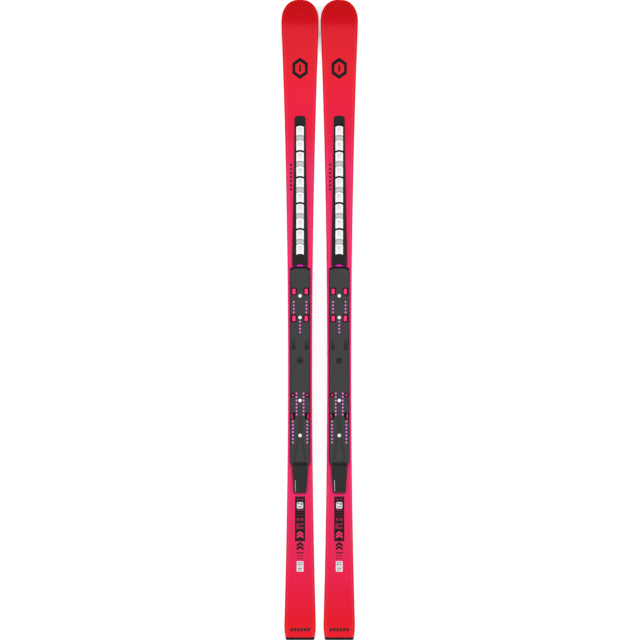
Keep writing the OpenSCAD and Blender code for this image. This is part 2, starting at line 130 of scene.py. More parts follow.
def stations(start, end, step=9.0):
    """Stations from start to end along the ski, closer together round the tip."""
    side_end = min(end, shovel_y)
    count = max(1, round((side_end - start) / step)) if start < side_end else 0
    found = [("side", start + (side_end - start) * i / count) for i in range(count + 1)] if count else []
    if end > shovel_y:
        first = tip_angle(max(start, shovel_y))
        last = math.pi / 2 if end >= front_y else tip_angle(end)
        steps = max(3, round((last - first) / math.radians(3.2)))
        found += [("tip", first + (last - first) * i / steps) for i in range(1 if count else 0, steps + 1)]
    return found


def mirrored(half_ring):
    """A half section from the bottom middle out and up to the top middle, made whole."""
    return half_ring + [(-x, y, z) for x, y, z in reversed(half_ring[1:-1])]


def loft(rings, name):
    """Closed skin through rings of points in millimetres, with an end face at each open end."""
    mesh = bmesh.new()
    rows = [[mesh.verts.new(Vector(p) * MM) for p in ring] for ring in rings]
    count = len(rows[0])
    for low, high in zip(rows, rows[1:]):
        for i in range(count):
            j = (i + 1) % count
            mesh.faces.new((low[i], low[j], high[j], high[i]))
    for row in (rows[0], rows[-1]):
        mesh.faces.new(row)
    bmesh.ops.remove_doubles(mesh, verts=mesh.verts, dist=1e-6)
    bmesh.ops.dissolve_degenerate(mesh, edges=mesh.edges, dist=1e-7)
    return finished(mesh, name)


def finished(mesh, name, sharp=32):
    """Closes a bmesh into a smooth-shaded object whose corners over the sharp angle stay crisp."""
    bmesh.ops.recalc_face_normals(mesh, faces=mesh.faces)
    data = bpy.data.meshes.new(name)
    mesh.to_mesh(data)
    mesh.free()
    data.polygons.foreach_set("use_smooth", [True] * len(data.polygons))
    data.set_sharp_from_angle(angle=math.radians(sharp))
    made = bpy.data.objects.new(name, data)
    bpy.context.scene.collection.objects.link(made)
    return made


def centre_x(ski):
    low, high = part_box(f"{ski}_base")
    return (low.x + high.x) / 2 / MM


def shifted(rings, ski):
    offset = centre_x(ski)
    return [[(x + offset, y, z) for x, y, z in ring] for ring in rings]


def fit(piece, finish, body, slot, *nodes):
    """Gives a new piece its finish and its body, and lets it stand for the CAD nodes. The slot argument is
    not used.
    """
    piece.data.materials.append(finish.material)
    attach(piece, body)
    if nodes:
        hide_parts(*nodes)
    return piece


class Wire:
    """A number carried through a material. Sums on it add the Math nodes."""

    def __init__(self, finish, socket):
        self.finish = finish
        self.socket = socket

    def sum(self, operation, *values):
        return self.finish.node("ShaderNodeMath", {"operation": operation}, dict(enumerate(values)), "Value")

    def __add__(self, other):
        return self.sum("ADD", self, other)

    def __radd__(self, other):
        return self.sum("ADD", other, self)

    def __sub__(self, other):
        return self.sum("SUBTRACT", self, other)

    def __rsub__(self, other):
        return self.sum("SUBTRACT", other, self)

    def __mul__(self, other):
        return self.sum("MULTIPLY", self, other)

    def __rmul__(self, other):
        return self.sum("MULTIPLY", other, self)

    def __truediv__(self, other):
        return self.sum("DIVIDE", self, other)

    def __gt__(self, other):
        return self.sum("GREATER_THAN", self, other)

    def size(self):
        return self.sum("ABSOLUTE", self)

    def waves(self):
        return self.sum("SINE", self)

    def fraction(self):
        return self.sum("FRACT", self)

    def clipped(self):
        return self.finish.node("ShaderNodeClamp", {}, {"Value": self}, "Result")


class Finish:
    """A material: constants on the shader, then nodes for what varies over the surface."""

    def __init__(self, name, **constants):
        self.material = bpy.data.materials.new(name)
        self.material.use_nodes = True
        self.tree = self.material.node_tree
        self.shader = self.tree.nodes["Principled BSDF"]
        for key, value in constants.items():
            self.shader.inputs[key.replace("_", " ")].default_value = value
        colour = constants.get("Base_Color")
        if colour:
            self.material.diffuse_color = colour

    def node(self, kind, settings, sockets, out):
        made = self.tree.nodes.new(kind)
        for key, value in settings.items():
            if key == "stops":
                for i, (place, colour) in enumerate(value):
                    stop = made.color_ramp.elements[i] if i < 2 else made.color_ramp.elements.new(place)
                    stop.position = place
                    stop.color = colour
            else:
                setattr(made, key, value)
        for key, value in sockets.items():
            into = made.inputs[key] if isinstance(key, int) else self.find(made.inputs, key)
            if isinstance(value, Wire):
                self.tree.links.new(value.socket, into)
            else:
                into.default_value = value
        return Wire(self, self.find(made.outputs, out))

    def find(self, sockets, key):
        return next(s for s in sockets if s.identifier == key or s.name == key)

    def place(self):
        """Place of a surface point in metres, whole and as three numbers."""
        whole = self.node("ShaderNodeTexCoord", {}, {}, "Object")
        return whole, [self.node("ShaderNodeSeparateXYZ", {}, {"Vector": whole}, axis) for axis in "XYZ"]

    def stretched(self, vector, x, y, z):
        return self.node("ShaderNodeMapping", {}, {"Vector": vector, "Scale": (x, y, z)}, "Vector")

    def noise(self, vector, scale, detail=3.0):
        return self.node(
            "ShaderNodeTexNoise", {}, {"Vector": vector, "Scale": scale, "Detail": detail}, "Fac"
        )

    def mixed(self, share, a, b):
        return self.node(
            "ShaderNodeMix", {"data_type": "RGBA"},
            {"Factor_Float": share, "A_Color": a, "B_Color": b}, "Result_Color",
        )

    def ramp(self, share, stops, ease="EASE"):
        made = self.node("ShaderNodeValToRGB", {"stops": stops}, {"Fac": share}, "Color")
        made.socket.node.color_ramp.interpolation = ease
        return made

    def bump(self, height, strength, distance, normal=None):
        sockets = {"Height": height, "Strength": strength, "Distance": distance}
        if normal is not None:
            sockets["Normal"] = normal
        return self.node("ShaderNodeBump", {}, sockets, "Normal")

    def feed(self, **wires):
        for key, wire in wires.items():
            self.tree.links.new(wire.socket, self.shader.inputs[key.replace("_", " ")])
        return self


def colour(red, green, blue):
    """A screen colour of 0 to 255 as the light that a surface has to send back."""
    light = [(c / 255 / 12.92) if c <= 10 else ((c / 255 + 0.055) / 1.055) ** 2.4 for c in (red, green, blue)]
    return (*light, 1.0)


def off_centre(x):
    """Distance of a surface point from the centre line of its own ski."""
    return (x.size() - abs(centre_x("right_ski")) * MM).size()


def base_finish():
    sole = Finish("sintered_base", Base_Color=(0.012, 0.012, 0.014, 1), Roughness=0.42)
    where, (x, _, _) = sole.place()
    streaks = sole.noise(sole.stretched(where, 900, 4, 1), 1.0, 4)
    grooves = (x * (2 * math.pi / (0.7 * MM))).waves()
    cloud = sole.noise(where, 14, 2)
    sole.feed(
        Base_Color=sole.mixed(cloud, (0.009, 0.009, 0.010, 1), (0.022, 0.022, 0.025, 1)),
        Roughness=0.34 + streaks * 0.2,
        Normal=sole.bump(grooves * 0.5 + streaks, 0.25, 0.05 * MM),
    )
    return sole


def base_rings():
    rings = []
    for along in stations(protector_y, edge_front_y):
        x, y = rim(along, edge_w)
        low = sole_z(y)
        top = low + base_t
        rings.append(mirrored([(0, y, low), (x / 2, y, low), (x, y, low), (x, y, top), (0, y, top)]))
    for along in stations(edge_front_y, front_y):
        x, y = rim(along, 0)
        inner_x, inner_y = rim(along, 0.5)
        low, inner = sole_z(y), sole_z(inner_y)
        rings.append(mirrored([
            (0, inner_y, inner), (inner_x / 2, inner_y, inner), (inner_x, inner_y, inner),
            (x, y, low + base_t), (0, y, low + base_t),
        ]))
    return rings


sole_finish = base_finish()
for ski in SKIS:
    sole = loft(shifted(base_rings(), ski), f"{ski}_running_base")
    fit(sole, sole_finish, ski, "running_base", f"{ski}_base")

# ---- Steel edges ----
# A strip of hardened steel runs along each side of the sole, from the tail protector to just past
# the shovel. Its flange is buried under the sheet metal, and its outer face is filed and polished
# along the ski.

core_front_y = 800.0


def steel_finish(name, along_y=True, tone=0.62):
    steel = Finish(name, Metallic=1.0, Base_Color=(tone, tone, tone * 1.03, 1))
    where, _ = steel.place()
    scale = (700, 6, 700) if along_y else (6, 700, 700)
    strokes = steel.noise(steel.stretched(where, *scale), 1.0, 5)
    patches = steel.noise(where, 30, 2)
    worn = (tone * 0.86, tone * 0.86, tone * 0.88, 1)
    steel.feed(
        Base_Color=steel.mixed(patches, worn, (tone, tone, tone * 1.03, 1)),
        Roughness=0.2 + strokes * 0.24,
        Normal=steel.bump(strokes, 0.2, 0.04 * MM),
    )
    return steel


def edge_rings(side):
    rings = []
    burr, arris = 0.12, 0.2
    for along in stations(protector_y, edge_front_y):
        flange = 6.0 if along[0] == "side" and along[1] < core_front_y else edge_w + 0.05
        outer, y = rim(along, 0)
        inner, inner_y = rim(along, edge_w)
        buried, buried_y = rim(along, flange)
        corner, corner_y = rim(along, burr)
        low = sole_z(y)
        top = low + edge_h
        rings.append([
            (side * corner, corner_y, low), (side * outer, y, low + burr), (side * outer, y, top - arris),
            (side * (outer - arris), y, top), (side * buried, buried_y, top),
            (side * buried, buried_y, low + base_t), (side * inner, inner_y, low + base_t),
            (side * inner, inner_y, low),
        ])
    return rings


edge_finish = steel_finish("filed_edge_steel")
for ski in SKIS:
    for side, word in ((-1, "left"), (1, "right")):
        strip = loft(shifted(edge_rings(side), ski), f"{ski}_{word}_steel_edge")
        fit(strip, edge_finish, ski, "steel_edge", f"{ski}_{word}_edge")

# ---- Sheet metal and wood core ----
# Two sheets of high-strength aluminium lie under and over a core of upright ash and poplar strips,
# glued into a block and planed to the ski's thickness. All three are hidden in a finished ski.


def wood_finish():
    wood = Finish("laminated_core_wood", Roughness=0.6)
    where, (x, _, _) = wood.place()
    strip = (x * (2 * math.pi / (22 * MM))).waves() > 0.2
    grain = wood.noise(wood.stretched(where, 260, 7, 260), 1.0, 6)
    ash = wood.mixed(grain, (0.62, 0.43, 0.24, 1), (0.44, 0.27, 0.13, 1))
    poplar = wood.mixed(grain, (0.74, 0.60, 0.40, 1), (0.60, 0.44, 0.26, 1))
    wood.feed(
        Base_Color=wood.mixed(strip, ash, poplar),
        Roughness=0.5 + grain * 0.25,
        Normal=wood.bump(grain, 0.3, 0.15 * MM),
    )
    return wood


def dress(node, finish):
    """Puts a finish on a CAD node that keeps its shape."""
    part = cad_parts[node]
    if not part.data.materials:
        part.data.materials.append(finish.material)
    for held in part.material_slots:
        held.material = finish.material
    return part


metal_finish = steel_finish("rolled_aluminium", tone=0.7)
core_finish = wood_finish()
for ski in SKIS:
    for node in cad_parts:
        if node.startswith((f"{ski}_lower_", f"{ski}_upper_")):
            dress(node, metal_finish)
    dress(f"{ski}_core", core_finish)

# ---- Sidewalls and tip filler ----
# Down each side runs a strip of red ABS that is milled to lean inwards, from the steel edge up to
# the topsheet. Round the tip the same plastic fills the space between sole and topsheet, and shows
# as a thin bright line outside the print.

wall_w, bevel, sheet_t = 8.0, 3.4, 0.8

# The last two reds at the nose are the print's red darkened by painted shade of the upturned tip. The pink
# used beside the plate is the print's pink lifted by painted light, to cancel the plate's shadow.
RED_NOSE_WITH_PAINTED_SHADE, RED_BEND_WITH_PAINTED_SHADE, RED_TIP = colour(218, 12, 28), colour(228, 24, 38), colour(240, 44, 58)
RED_SHOVEL, PINK_FRONT, PINK_MIDDLE = colour(238, 40, 76), colour(238, 52, 100), colour(244, 52, 112)
PINK_WITH_PAINTED_LIGHT, PINK_REAR, RED_TAIL = colour(254, 50, 124), colour(236, 47, 92), colour(232, 34, 48)
LIGHT_LEVEL = 1.22


def shade(light, factor=1.0, gloss=0.006):
    """Surface colour that sends back the given light, less the share that its gloss adds."""
    return (*(max(0.002, (c * factor - gloss) / LIGHT_LEVEL) for c in light[:3]), 1.0)


def fade(finish, y, factor=1.0, gloss=0.006):
    """Print colour along the ski, red at both ends and pink in the middle, with painted shade at the nose and
    painted light beside the plate.
    """
    share = (y - rear_y * MM) / ((front_y - rear_y) * MM)
    stops = [
        # Stops from 0.276 to 0.584 are pink lifted by painted light beside the plate; stops from 0.966 on
        # hold painted shade of the upturned tip.
        (0.03, RED_TAIL), (0.09, RED_SHOVEL), (0.14, PINK_REAR), (0.26, PINK_MIDDLE), (0.274, PINK_MIDDLE),
        (0.276, PINK_WITH_PAINTED_LIGHT), (0.584, PINK_WITH_PAINTED_LIGHT), (0.586, PINK_MIDDLE), (0.60, PINK_MIDDLE),
        (0.74, PINK_FRONT), (0.79, RED_SHOVEL), (0.90, RED_TIP), (0.955, RED_TIP), (0.966, RED_BEND_WITH_PAINTED_SHADE),
        (0.985, RED_NOSE_WITH_PAINTED_SHADE),
    ]
    return finish.ramp(share, [(place, shade(light, factor, gloss)) for place, light in stops], "LINEAR")


def wall_finish():
    wall = Finish("red_abs_sidewall", Roughness=0.4, Specular_IOR_Level=0.03)
    where, (_, y, _) = wall.place()
    milling = wall.noise(wall.stretched(where, 40, 1400, 40), 1.0, 2)
    cloud = wall.noise(where, 60, 3)
    wall.feed(
        # The sidewall takes the same fade, with its painted shade at the nose and painted light beside the
        # plate.
        Base_Color=fade(wall, y, 1.0, 0.036),
        Roughness=0.36 + cloud * 0.2,
        Normal=wall.bump(milling, 0.12, 0.03 * MM),
    )
    return wall


def wall_rings(side):
    rings = []
    arris = 0.25
    for along in stations(protector_y, core_front_y):
        half, y = rim(along, 0)
        foot, top = sole_z(y) + edge_h, deck_top(y) - sheet_t
        rings.append([(side * x, y, z) for x, z in (
            (half - wall_w, foot), (half - 0.2, foot), (half - 0.05, foot + arris),
            (half - bevel + 0.1, top - arris), (half - bevel, top), (half - wall_w, top),
        )])
    return rings


def filler_rings():
    rings = []
    for along in stations(core_front_y, front_y, 6.0):
        x, y = rim(along, 0)
        covered = y <= edge_front_y
        foot = sole_z(y) + (edge_h if covered else base_t)
        middle_y = rim(along, bevel)[1]
        mid_foot = sole_z(middle_y) + (edge_h if covered else base_t)
        half_ring = [(0, middle_y, mid_foot), (x - 0.3 if x > 0.3 else x, y, foot), (x, y, foot + 0.3)]
        for inset, drop in ((bevel * 0.45, 0.5), (bevel, 0.0)):
            in_x, in_y = rim(along, inset)
            half_ring.append((in_x, in_y, deck_top(in_y) - sheet_t - drop))
        half_ring.append((0, middle_y, deck_top(middle_y) - sheet_t))
        rings.append(mirrored(half_ring))
    return rings


abs_finish = wall_finish()
for ski in SKIS:
    for side, word in ((-1, "left"), (1, "right")):
        wall = loft(shifted(wall_rings(side), ski), f"{ski}_{word}_abs_wall")
        fit(wall, abs_finish, ski, "sidewall", f"{ski}_{word}_sidewall")
    filler = loft(shifted(filler_rings(), ski), f"{ski}_tip_filler")
    fit(filler, abs_finish, ski, "tip_filler", f"{ski}_tip_spacer")

# ---- Topsheets ----
# The top of each ski is a clear polyamide sheet printed from below, glossy outside, with a fade
# from red at the ends to pink in the middle. The fade carries painted shade on the upturned nose and
# painted light on the pink beside the plate, where the plate's shadow falls. Its rim is cut at the
# top of the leaning sidewall and rounded with a scraper.


def print_finish():
    print_ = Finish("printed_topsheet", Roughness=0.2, Coat_Weight=0.1, Coat_Roughness=0.06,
                    Specular_IOR_Level=0.2)
    where, (_, y, _) = print_.place()
    peel = print_.noise(where, 420, 2)
    scuffs = print_.noise(print_.stretched(where, 30, 900, 30), 1.0, 5)
    cloud = print_.noise(where, 9, 3)
    flat = fade(print_, y)
    deeper = fade(print_, y, 0.95)
    facing = print_.node("ShaderNodeNewGeometry", {}, {}, "Normal")
    sideways = print_.node("ShaderNodeSeparateXYZ", {}, {"Vector": facing}, "X").size()
    scraped = ((sideways - 0.08) / 0.1).clipped()
    print_.feed(
        Base_Color=print_.mixed((cloud * 1.6 - 0.4).clipped(), flat, deeper),
        Coat_Weight=0.1 - scraped * 0.1,
        Roughness=0.13 + scuffs * 0.12 + scraped * 0.55,
        Normal=print_.bump(peel, 0.05, 0.02 * MM),
    )
    return print_


def sheet_rings():
    rings = []
    rounding = 0.5
    for along in stations(protector_y, front_y, 8.0):
        half_ring = []
        middle_y = rim(along, bevel + 0.9)[1]
        half_ring.append((0, middle_y, deck_top(middle_y) - sheet_t))
        for inset, drop in ((0.0, sheet_t), (0.0, 0.42), (0.14, 0.14), (rounding, 0.0)):
            x, y = rim(along, bevel + inset)
            half_ring.append((x, y, deck_top(y) - drop))
        wide, y = rim(along, bevel + rounding)
        for share in (0.75, 0.5, 0.25, 0.0):
            half_ring.append((wide * share, y, deck_top(y)))
        rings.append(mirrored(half_ring))
    return rings


topsheet_finish = print_finish()
for ski in SKIS:
    sheet = loft(shifted(sheet_rings(), ski), f"{ski}_printed_topsheet")
    fit(sheet, topsheet_finish, ski, "topsheet", f"{ski}_topsheet")

# ---- Tail protectors ----
# A small block of blackened aluminium closes the tail, so that the layers don't split when the ski
# stands on its end. It is glued and ground flush with base and topsheet, with eased corners.


def protector_rings():
    rings = []
    length = protector_y - rear_y
    corner, ease, end_round, shoulder = 1.6, 0.5, 0.6, 1.2
    for i in range(13):
        y = protector_y - length * i / 12
        from_end = y - rear_y
        cut = corner - math.sqrt(max(0.0, corner**2 - (corner - from_end) ** 2)) if from_end < corner else 0.0
        half = half_width(y) - cut
        low, top = sole_z(y), deck_top(y)
        end_ease = max(0.0, end_round - from_end)
        rings.append(mirrored([
            (0, y, low + end_ease), (half - ease, y, low + end_ease), (half, y, low + ease + end_ease),
            (half, y, top - 1.5 * shoulder), (half - shoulder, y, top - ease - end_ease),
            (half - 2 * shoulder, y, top - end_ease), (0, y, top - end_ease),
        ]))
    return rings


def cast_finish():
    cast = Finish(
        "dark_tail_metal", Roughness=0.5, Specular_IOR_Level=0.12, Base_Color=(0.004, 0.004, 0.004, 1)
    )
    where, (_, y, _) = cast.place()
    blast = cast.noise(where, 1500, 2)
    rub = cast.noise(cast.stretched(where, 20, 400, 200), 1.0, 4)
    joint = y > (protector_y - 3.6) * MM
    face = cast.mixed(rub, (0.002, 0.002, 0.002, 1), (0.008, 0.008, 0.009, 1))
    cast.feed(
        Base_Color=cast.mixed(joint, face, (0.001, 0.001, 0.001, 1)),
        Roughness=0.36 + rub * 0.22,
        Normal=cast.bump(blast, 0.2, 0.05 * MM),
    )
    return cast


protector_finish = cast_finish()
for ski in SKIS:
    block = loft(shifted(protector_rings(), ski), f"{ski}_tail_block")
    fit(block, protector_finish, ski, "tail_protector", f"{ski}_tail_protector")

# ---- Prints on the topsheets ----
# The marks are inks under the clear sheet: an open hexagon, a line of dots, and a black panel behind
# the plate with plain bars, a badge and a label. A plum film at the nose of the plate is painted
# shadow of the plate's nose. They are shapes only, with no letters or figures.

INK_LIFT = 0.04


def ring_shape(outer, share):
    """An outline and a smaller copy of it as a flat frame, cut into four-cornered pieces."""
    middle_x = sum(p[0] for p in outer) / len(outer)
    middle_y = sum(p[1] for p in outer) / len(outer)
    inner = [(middle_x + (x - middle_x) * share, middle_y + (y - middle_y) * share) for x, y in outer]
    count = len(outer)
    return [[outer[i], outer[(i + 1) % count], inner[(i + 1) % count], inner[i]] for i in range(count)]


def bar(x, y, wide, long, slant=0.0):
    """A bar about (x, y), leaning by slant along its length."""
    return [
        (x - wide / 2 - slant / 2, y - long / 2), (x + wide / 2 - slant / 2, y - long / 2),
        (x + wide / 2 + slant / 2, y + long / 2), (x - wide / 2 + slant / 2, y + long / 2),
    ]


def soft_bar(x, y, wide, long, radius):
    """A bar with rounded corners."""
    points = []
    for corner, (sx, sy) in enumerate(((1, 1), (-1, 1), (-1, -1), (1, -1))):
        for step in range(5):
            angle = math.pi / 2 * (corner + step / 4)
            points.append((
                x + sx * (wide / 2 - radius) + radius * math.cos(angle),
                y + sy * (long / 2 - radius) + radius * math.sin(angle),
            ))
    return points


def chevrons(y, wide, long):
    """Two arrow stripes, one behind the other, that point to the tip."""
    stripe, rise = long * 0.3, long * 0.36
    found = []
    for foot in (y - long / 2, y - long / 2 + long * 0.42):
        for side in (-1, 1):
            found.append([
                (side * wide / 2, foot), (side * wide / 2, foot + stripe),
                (0, foot + stripe + rise * 0.8), (0, foot + rise * 0.8),
            ])
    return found


def inked(shapes, name, layer=1):
    """Flat shapes laid on the topsheet as a film of ink, following its curve."""
    mesh = bmesh.new()
    for shape in shapes:
        mesh.faces.new([mesh.verts.new((x, y, 0)) for x, y in shape])
    bmesh.ops.remove_doubles(mesh, verts=mesh.verts, dist=1e-4)
    bmesh.ops.triangulate(mesh, faces=mesh.faces)
    low = min(v.co.y for v in mesh.verts)
    high = max(v.co.y for v in mesh.verts)
    cuts = int((high - low) / 7)
    for i in range(1, cuts + 1):
        bmesh.ops.bisect_plane(
            mesh, geom=mesh.verts[:] + mesh.edges[:] + mesh.faces[:],
            plane_co=(0, low + (high - low) * i / (cuts + 1), 0), plane_no=(0, 1, 0),
        )
    bmesh.ops.recalc_face_normals(mesh, faces=mesh.faces)
    for face in mesh.faces:
        if face.normal.z < 0:
            face.normal_flip()
    grown = bmesh.ops.extrude_face_region(mesh, geom=mesh.faces[:])
    upper = {v for v in grown["geom"] if isinstance(v, bmesh.types.BMVert)}
    for v in mesh.verts:
        height = deck_top(v.co.y) + (INK_LIFT * layer if v in upper else -0.1)
        v.co = Vector((v.co.x, v.co.y, height)) * MM
    return finished(mesh, name)


def placed(piece, ski):
    """Moves a piece made about a ski's own centre line to where that ski is."""
    offset = centre_x(ski) * MM
    for v in piece.data.vertices:
        v.co.x += offset
    return piece


def ink_finish(name, light, rough=0.4):
    ink = Finish(name, Roughness=rough, Specular_IOR_Level=0.3, Coat_Weight=0.2, Coat_Roughness=0.15)
    where, _ = ink.place()
    grain = ink.noise(where, 2600, 2)
    screen = ink.noise(where, 300, 3)
    ink.feed(
        Base_Color=ink.mixed(screen, shade(light, 0.94), shade(light, 1.06)),
        Roughness=rough - 0.06 + grain * 0.12,
        Normal=ink.bump(grain, 0.05, 0.02 * MM),
    )
    return ink


black_ink = ink_finish("black_print_ink", colour(22, 20, 22))
white_ink = ink_finish("white_print_ink", colour(238, 236, 238))
red_ink = ink_finish("dull_red_print_ink", colour(146, 32, 66))
grey_ink = ink_finish("grey_print_ink", colour(120, 116, 120))
pink_ink = ink_finish("pink_print_ink", colour(236, 50, 100))
nose_shadow_ink = ink_finish("painted_nose_shadow_ink", colour(96, 24, 70))

emblem_y, emblem_w, emblem_l = 720.0, 44.0, 62.0
hexagon = [
    (0, emblem_l / 2), (-emblem_w / 2, emblem_l / 4), (-emblem_w / 2, -emblem_l / 4),
    (0, -emblem_l / 2), (emblem_w / 2, -emblem_l / 4), (emblem_w / 2, emblem_l / 4),
]
emblem = ring_shape([(x, emblem_y + y) for x, y in hexagon], 0.62)
emblem += [bar(0, emblem_y, 5.2, 20)]
dots = [soft_bar(-26.0, 444 - 11.7 * i, 6.2, 6.8, 2.9) for i in range(7)]

# Painted shadow: a plum film in front of and under the plate's nose, where the nose shades the topsheet.
nose_shadow_shapes = [bar(0, 154, 44, 12)]

panel_half, panel_front, panel_rear = 14.5, -504.6, -632.6
panel = [soft_bar(0, (panel_front + panel_rear) / 2, 2 * panel_half, panel_front - panel_rear, 1.2)]
black_marks = emblem + dots + panel
black_marks += chevrons(-647.0, 20, 25)
black_marks += [bar(0, -666, 20, 3.4)]
black_marks += [bar(-24 + 9.6 * i, -885.6, 6.8, 9.5, 3.2) for i in range(6)]

white_marks = [soft_bar(0, -530.0, 17.8, 18.8, 3.4), soft_bar(0, -704.8, 19.2, 29.6, 1.0)]
red_marks = [
    bar(-4.4, -513.2, 9, 3.4), bar(6.6, -513.2, 7, 3.4), bar(0, -543.4, 21, 3.2), bar(0, -551.2, 22, 1.0),
    bar(0, -559.0, 22, 1.0), bar(-5.6, -570, 9, 7.6), bar(5.8, -570, 9, 7.6), bar(-6.6, -589.5, 8.4, 17.0),
    bar(4.4, -583.8, 10.6, 5.6), bar(4.4, -594.6, 10.6, 5.6),
]
rear_lines = [
    bar(-5.6, -674.6, 8.4, 2.6), bar(4.4, -674.6, 9.6, 2.6), bar(-3.2, -681.8, 13, 2.4),
    bar(6.6, -681.8, 5, 2.4),
]
pink_marks = chevrons(-614.5, 19, 21)
grey_marks = [
    bar(-4.2, -524.6, 6.4, 4.2), bar(4.6, -525.8, 5.2, 6.2), bar(0, -533.6, 13, 2.6), bar(0, -537.2, 9, 1.2),
    bar(0, -694.0, 15, 2.2), bar(-3.6, -699.4, 7.4, 3.6), bar(4.6, -699.4, 4.2, 3.6), bar(0, -706.2, 14, 1.4),
    bar(0, -711.6, 12, 3.2), bar(-2, -716.6, 9, 1.4),
]

for ski in SKIS:
    for marks, name, ink, layer in (
        (black_marks, "black_prints", black_ink, 1),
        (white_marks, "white_labels", white_ink, 2),
        (red_marks + rear_lines, "red_print_bars", red_ink, 2),
        (pink_marks, "pink_print_stripes", pink_ink, 2),
        (grey_marks, "grey_label_bars", grey_ink, 3),
        (nose_shadow_shapes, "painted_nose_shadow_film", nose_shadow_ink, 1),
    ):
        film = placed(inked(marks, f"{ski}_{name}", layer), ski)
        fit(film, ink, ski, "topsheet")

# ---- Shock absorber ----
# A black moulded bed is glued to the front of the deck, and five bowed aluminium sections sit in its
# pockets. The sections can creep a little along the ski as it bends, which damps it. Each has a
# lowered grey band across the middle and a pressed panel in front of it and behind it.

section_front, pitch, section_count = 558.0, 74.3, 5
section_w, section_gap, end_radius = 21.5, 4.8, 20.0
section_t, pocket_floor = 1.3, 1.45
band_half, band_drop, band_shift = 7.85, 0.35, 0.5
panel_half_w, panel_drop, panel_from_end, panel_from_band = 6.2, 0.22, 5.5, 4.5
# Light that a moulding's shine adds to its own colour, for each part of specular level
GLOSS_OF_SHINE = 0.056


def moulded_finish(name, light, rough, grain_size=900, strength=0.3, shine=0.25, mottle=0.18,
                   top=None, rim=None, seats=()):
    """Spark-textured moulding. Below its top it gets painted shade, blacker with depth, most of all past its
    rim and in its seats.
    """
    gloss = GLOSS_OF_SHINE * shine
    plastic = Finish(name, Roughness=rough, Specular_IOR_Level=shine)
    where, (x, y, z) = plastic.place()
    grain = plastic.noise(where, grain_size, 3)
    cloud = plastic.noise(where, 35, 4)
    speckle = (cloud * 0.5 + (grain * 2.4 - 0.7).clipped() * 0.5).clipped()
    face = plastic.mixed(speckle, shade(light, 1 - mottle, gloss), shade(light, 1 + mottle, gloss))
    dullness = rough - 0.08 + cloud * 0.16
    if top is not None:
        # Painted shade: the colour goes towards black with depth below the top, faster past the rim and in
        # the seats.
        open_rate, shaded_rate, shade_free_depth = 0.45, 1.4, 0.15
        across = off_centre(x)
        shaded = ((across > rim[0] * MM) + (y > rim[1] * MM)).clipped()
        for seat_y, seat_r in seats:
            along = y - seat_y * MM
            shaded = shaded + (1 - ((across * across + along * along) > (seat_r * MM) ** 2))
        depth = (top * MM - z) / MM
        painted_recess_shade = (depth * (open_rate + shaded * shaded_rate) - shade_free_depth).clipped()
        face = plastic.mixed(painted_recess_shade, face, (0.004, 0.004, 0.004, 1))
        dullness = dullness + painted_recess_shade * 0.4
    plastic.feed(
        Base_Color=face,
        Roughness=dullness,
        Normal=plastic.bump(grain, strength, 0.14 * MM),
    )
    return plastic


def softened(part, width, sharp=28):
    """Eases the corners of a CAD part that keeps its shape, as its mould or cutter leaves them."""
    weld = part.modifiers.new("weld", "WELD")
    weld.merge_threshold = 0.002 * MM
    ease = part.modifiers.new("eased_corners", "BEVEL")
    ease.width = width * MM
    ease.segments = 2
    ease.limit_method = "ANGLE"
    ease.angle_limit = math.radians(sharp)
    ease.use_clamp_overlap = True
    ease.harden_normals = True
    return part


def pressed_plate(k, ski):
    """One bowed section, from its pressed top face down to its flat underside."""
    rear = section_front - k * pitch
    front = rear + pitch
    slope = (deck_top(front) - deck_top(rear)) / pitch
    middle = (front + rear) / 2 + band_shift
    half, low, high = section_w / 2, rear + section_gap / 2, front - section_gap / 2
    panels = (
        (low + panel_from_end, middle - band_half - panel_from_band),
        (middle + band_half + panel_from_band, high - panel_from_end),
    )
    corner, press, border, crown, chamfer = 0.35, 0.25, 2.2, 0.25, 0.3

    def sag(x):
        return end_radius - math.sqrt(end_radius**2 - x**2)

    def both_sides(mark):
        """Places each side of a border, so that a pressed border is a short slope."""
        return [mark - press, mark + press]

    along = [low, low + corner, high - corner, high]
    along += [middle - band_half + border, middle + band_half - border]
    for mark in (*panels[0], middle - band_half, middle + band_half, *panels[1]):
        along += both_sides(mark)
    along.sort()
    across = sorted(
        [0, -half, half, -half + corner, half - corner, -half * 0.82, half * 0.82]
        + [s * (panel_half_w + e) for s in (-1, 1) for e in (-0.2, 0.2)]
        + [s * panel_half_w * 0.5 for s in (-1, 1)]
    )

    def height(x, t):
        top = section_t - crown * (x / half) ** 2
        if abs(t - middle) < band_half:
            top -= band_drop
        elif abs(x) < panel_half_w and any(start < t < end for start, end in panels):
            top -= panel_drop
        if t in (low, high) or abs(x) == half:
            top -= chamfer
        return top

    mesh = bmesh.new()
    top, under = [], []
    for t in along:
        upper_row, lower_row = [], []
        for x in across:
            y = t - sag(x)
            ground = deck_top(rear) + slope * (y - rear) + pocket_floor
            upper_row.append(mesh.verts.new(Vector((x, y, ground + height(x, t))) * MM))
            lower_row.append(mesh.verts.new(Vector((x, y, ground)) * MM))
        top.append(upper_row)
        under.append(lower_row)
    rows, columns = len(along), len(across)
    for i in range(rows - 1):
        for j in range(columns - 1):
            mesh.faces.new((top[i][j], top[i][j + 1], top[i + 1][j + 1], top[i + 1][j]))
            mesh.faces.new((under[i][j], under[i + 1][j], under[i + 1][j + 1], under[i][j + 1]))
    for i in range(rows - 1):
        for j in (0, columns - 1):
            mesh.faces.new((top[i][j], top[i + 1][j], under[i + 1][j], under[i][j]))
    for j in range(columns - 1):
        for i in (0, rows - 1):
            mesh.faces.new((top[i][j], top[i][j + 1], under[i][j + 1], under[i][j]))
    return placed(finished(mesh, f"{ski}_damper_plate_{k}", 40), ski)


